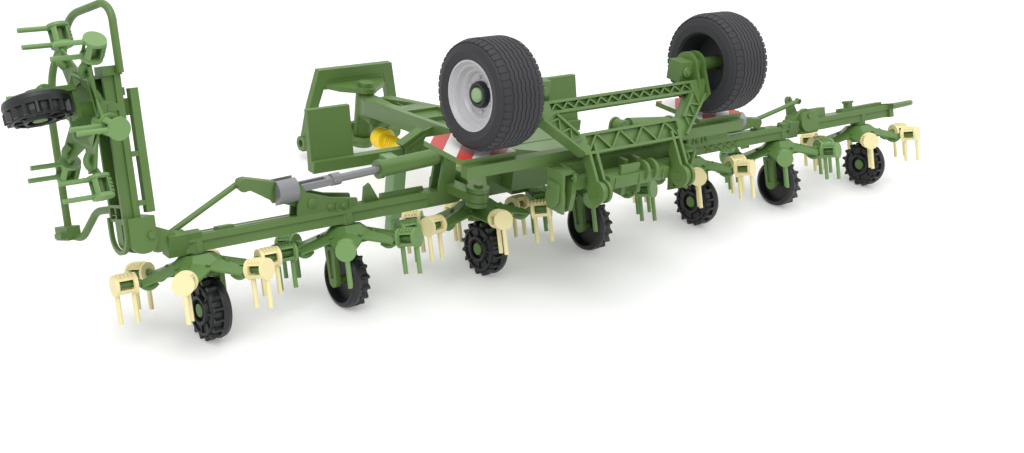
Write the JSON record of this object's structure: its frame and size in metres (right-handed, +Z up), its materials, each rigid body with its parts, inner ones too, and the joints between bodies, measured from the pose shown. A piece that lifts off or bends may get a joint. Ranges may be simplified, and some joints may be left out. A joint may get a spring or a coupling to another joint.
{
  "type": "toy hay tedder",
  "caption": "Toy hay tedder with tined rotors on folding wings and tips, small castored wheels, a raised transport chassis, striped boards, a stand leg and a swivelling hitch frame.",
  "frame": {"origin": "midpoint between the two lower coupling bores of the headstock", "axes": "+Y forward to the towing vehicle, +X to the machine's right, +Z up"},
  "size_m": [0.5278, 0.2308, 0.1284],
  "materials": {
    "green": "satin",
    "tine_green": "satin",
    "tine_cream": "satin",
    "wheel_black": "matte",
    "tyre_black": "matte",
    "rim_silver": "satin",
    "rod_grey": "satin",
    "stripes": "satin",
    "shaft_yellow": "satin",
    "stand_green": "satin"
  },
  "bodies": {
    "frame": {"centre_beam": "green", "centre_frame": "green", "drawbar": "green", "front_boards": "green", "stand_leg": "stand_green", "drive_shaft": "shaft_yellow", "centre_legs": "green", "left_warning_board": "stripes", "right_warning_board": "stripes"},
    "headstock": {"headstock": "green"},
    "left_wing": {"left_wing": "green", "left_wing_legs": "green"},
    "right_wing": {"right_wing": "green", "right_wing_legs": "green"},
    "left_tip": {"left_tip": "green", "left_tip_legs": "green"},
    "right_tip": {"right_tip": "green", "right_tip_legs": "green"},
    "chassis": {"chassis_frame": "green"},
    "left_transport_wheel": {"left_transport_tyre": "tyre_black", "left_transport_rim": "rim_silver"},
    "right_transport_wheel": {"right_transport_tyre": "tyre_black", "right_transport_rim": "rim_silver"},
    "rotor_a": {"rotor_arms_a": "green", "tines_a": "tine_cream"},
    "wheel_a": {"small_wheel_a": "wheel_black"},
    "rotor_b": {"rotor_arms_b": "green", "tines_b": "tine_green"},
    "wheel_b": {"small_wheel_b": "wheel_black"},
    "rotor_c": {"rotor_arms_c": "green", "tines_c": "tine_cream"},
    "wheel_c": {"small_wheel_c": "wheel_black"},
    "rotor_d": {"rotor_arms_d": "green", "tines_d": "tine_green"},
    "wheel_d": {"small_wheel_d": "wheel_black"},
    "rotor_e": {"rotor_arms_e": "green", "tines_e": "tine_cream"},
    "wheel_e": {"small_wheel_e": "wheel_black"},
    "rotor_f": {"rotor_arms_f": "green", "tines_f": "tine_green"},
    "wheel_f": {"small_wheel_f": "wheel_black"},
    "rotor_g": {"rotor_arms_g": "green", "tines_g": "tine_cream"},
    "wheel_g": {"small_wheel_g": "wheel_black"},
    "rotor_h": {"rotor_arms_h": "green", "tines_h": "tine_green"},
    "wheel_h": {"small_wheel_h": "wheel_black"},
    "left_crank": {"left_fold_crank": "green"},
    "left_link": {"left_fold_link": "green"},
    "left_barrel": {"left_barrel": "green"},
    "left_piston": {"left_piston": "rod_grey"},
    "right_crank": {"right_fold_crank": "green"},
    "right_link": {"right_fold_link": "green"},
    "right_barrel": {"right_barrel": "green"},
    "right_piston": {"right_piston": "rod_grey"}
  },
  "joints": [
    {"name": "headstock_swivel", "type": "hinge", "parent": "frame", "child": "headstock", "pos_m": [0, -0.012, 0.016], "axis": [0, 0, 1], "range_deg": [-25, 25]},
    {"name": "left_wing_fold", "type": "hinge", "parent": "frame", "child": "left_wing", "pos_m": [-0.046, -0.169, 0.0337], "axis": [0, 0, 1], "range_deg": [0, 90]},
    {"name": "right_wing_fold", "type": "hinge", "parent": "frame", "child": "right_wing", "pos_m": [0.046, -0.169, 0.0337], "axis": [0, 0, -1], "range_deg": [0, 90]},
    {"name": "left_tip_fold", "type": "hinge", "parent": "left_wing", "child": "left_tip", "pos_m": [-0.1923, -0.15017, 0.03492], "axis": [0, 0.9455, -0.3256], "range_deg": [-90, 0]},
    {"name": "right_tip_fold", "type": "hinge", "parent": "right_wing", "child": "right_tip", "pos_m": [0.1923, -0.15017, 0.03492], "axis": [0, -0.9455, 0.3256], "range_deg": [0, 90]},
    {"name": "chassis_swing", "type": "hinge", "parent": "frame", "child": "chassis", "pos_m": [0, -0.22184, 0.05105], "axis": [-1, 0, 0], "range_deg": [-190, 0]},
    {"name": "left_transport_spin", "type": "hinge", "parent": "chassis", "child": "left_transport_wheel", "pos_m": [-0.066, -0.1947, 0.0902], "axis": [1, 0, 0], "continuous": true},
    {"name": "right_transport_spin", "type": "hinge", "parent": "chassis", "child": "right_transport_wheel", "pos_m": [0.066, -0.1947, 0.0902], "axis": [1, 0, 0], "continuous": true},
    {"name": "rotor_a_spin", "type": "hinge", "parent": "left_wing", "child": "rotor_a", "pos_m": [-0.1725, -0.156, 0.018], "axis": [0, 0.3256, 0.9455], "continuous": true},
    {"name": "wheel_a_spin", "type": "hinge", "parent": "left_wing", "child": "wheel_a", "pos_m": [-0.1725, -0.16103, 0.0034], "axis": [1, 0, 0], "continuous": true},
    {"name": "rotor_b_spin", "type": "hinge", "parent": "left_wing", "child": "rotor_b", "pos_m": [-0.1035, -0.156, 0.018], "axis": [0, 0.3256, 0.9455], "continuous": true},
    {"name": "wheel_b_spin", "type": "hinge", "parent": "left_wing", "child": "wheel_b", "pos_m": [-0.1035, -0.16103, 0.0034], "axis": [1, 0, 0], "continuous": true},
    {"name": "rotor_c_spin", "type": "hinge", "parent": "frame", "child": "rotor_c", "pos_m": [-0.0345, -0.156, 0.018], "axis": [0, 0.3256, 0.9455], "continuous": true},
    {"name": "wheel_c_spin", "type": "hinge", "parent": "frame", "child": "wheel_c", "pos_m": [-0.0345, -0.16103, 0.0034], "axis": [1, 0, 0], "continuous": true},
    {"name": "rotor_d_spin", "type": "hinge", "parent": "frame", "child": "rotor_d", "pos_m": [0.0345, -0.156, 0.018], "axis": [0, 0.3256, 0.9455], "continuous": true},
    {"name": "wheel_d_spin", "type": "hinge", "parent": "frame", "child": "wheel_d", "pos_m": [0.0345, -0.16103, 0.0034], "axis": [1, 0, 0], "continuous": true},
    {"name": "rotor_e_spin", "type": "hinge", "parent": "right_wing", "child": "rotor_e", "pos_m": [0.1035, -0.156, 0.018], "axis": [0, 0.3256, 0.9455], "continuous": true},
    {"name": "wheel_e_spin", "type": "hinge", "parent": "right_wing", "child": "wheel_e", "pos_m": [0.1035, -0.16103, 0.0034], "axis": [1, 0, 0], "continuous": true},
    {"name": "rotor_f_spin", "type": "hinge", "parent": "right_wing", "child": "rotor_f", "pos_m": [0.1725, -0.156, 0.018], "axis": [0, 0.3256, 0.9455], "continuous": true},
    {"name": "wheel_f_spin", "type": "hinge", "parent": "right_wing", "child": "wheel_f", "pos_m": [0.1725, -0.16103, 0.0034], "axis": [1, 0, 0], "continuous": true},
    {"name": "rotor_g_spin", "type": "hinge", "parent": "right_tip", "child": "rotor_g", "pos_m": [0.2415, -0.156, 0.018], "axis": [0, 0.3256, 0.9455], "continuous": true},
    {"name": "wheel_g_spin", "type": "hinge", "parent": "right_tip", "child": "wheel_g", "pos_m": [0.2415, -0.16103, 0.0034], "axis": [1, 0, 0], "continuous": true},
    {"name": "rotor_h_spin", "type": "hinge", "parent": "left_tip", "child": "rotor_h", "pos_m": [-0.2102, -0.13415, 0.08144], "axis": [1, 0, 0], "continuous": true},
    {"name": "wheel_h_spin", "type": "hinge", "parent": "left_tip", "child": "wheel_h", "pos_m": [-0.22564, -0.13415, 0.08144], "axis": [0, -0.5592, -0.829], "continuous": true},
    {"name": "left_crank_turn", "type": "hinge", "parent": "left_wing", "child": "left_crank", "pos_m": [-0.1215, -0.152, 0.0378], "axis": [0, 1, 0], "range_deg": [-23.93, 0]},
    {"name": "left_link_turn", "type": "hinge", "parent": "left_crank", "child": "left_link", "pos_m": [-0.1515, -0.1491, 0.0495], "axis": [0, 1, 0], "range_deg": [0, 64.15]},
    {"name": "left_barrel_turn", "type": "hinge", "parent": "left_wing", "child": "left_barrel", "pos_m": [-0.052, -0.152, 0.048], "axis": [0, 1, 0], "range_deg": [-2.92, 0]},
    {"name": "left_piston_slide", "type": "slide", "parent": "left_barrel", "child": "left_piston", "axis": [-0.9988, 0, -0.0484], "range_m": [0, 0.00213]},
    {"name": "right_crank_turn", "type": "hinge", "parent": "right_wing", "child": "right_crank", "pos_m": [0.1215, -0.152, 0.0378], "axis": [0, -1, 0], "range_deg": [0, 23.93]},
    {"name": "right_link_turn", "type": "hinge", "parent": "right_crank", "child": "right_link", "pos_m": [0.15367, -0.1491, 0.03633], "axis": [0, -1, 0], "range_deg": [-64.15, 0]},
    {"name": "right_barrel_turn", "type": "hinge", "parent": "right_wing", "child": "right_barrel", "pos_m": [0.052, -0.152, 0.048], "axis": [0, -1, 0], "range_deg": [0, 2.92]},
    {"name": "right_piston_slide", "type": "slide", "parent": "right_barrel", "child": "right_piston", "axis": [0.9951, 0, -0.0991], "range_m": [-0.00213, 0]}
  ],
  "couplings": [
    {"joint": "left_crank_turn", "follows": "left_tip_fold", "ratio": 0.26576},
    {"joint": "left_link_turn", "follows": "left_tip_fold", "ratio": -0.71243},
    {"joint": "left_barrel_turn", "follows": "left_tip_fold", "ratio": 0.032393},
    {"joint": "left_piston_slide", "follows": "left_tip_fold", "m_per_rad": -0.0013542},
    {"joint": "right_crank_turn", "follows": "right_tip_fold", "ratio": 0.26576},
    {"joint": "right_link_turn", "follows": "right_tip_fold", "ratio": -0.71243},
    {"joint": "right_barrel_turn", "follows": "right_tip_fold", "ratio": 0.032393},
    {"joint": "right_piston_slide", "follows": "right_tip_fold", "m_per_rad": -0.0013542}
  ]
}
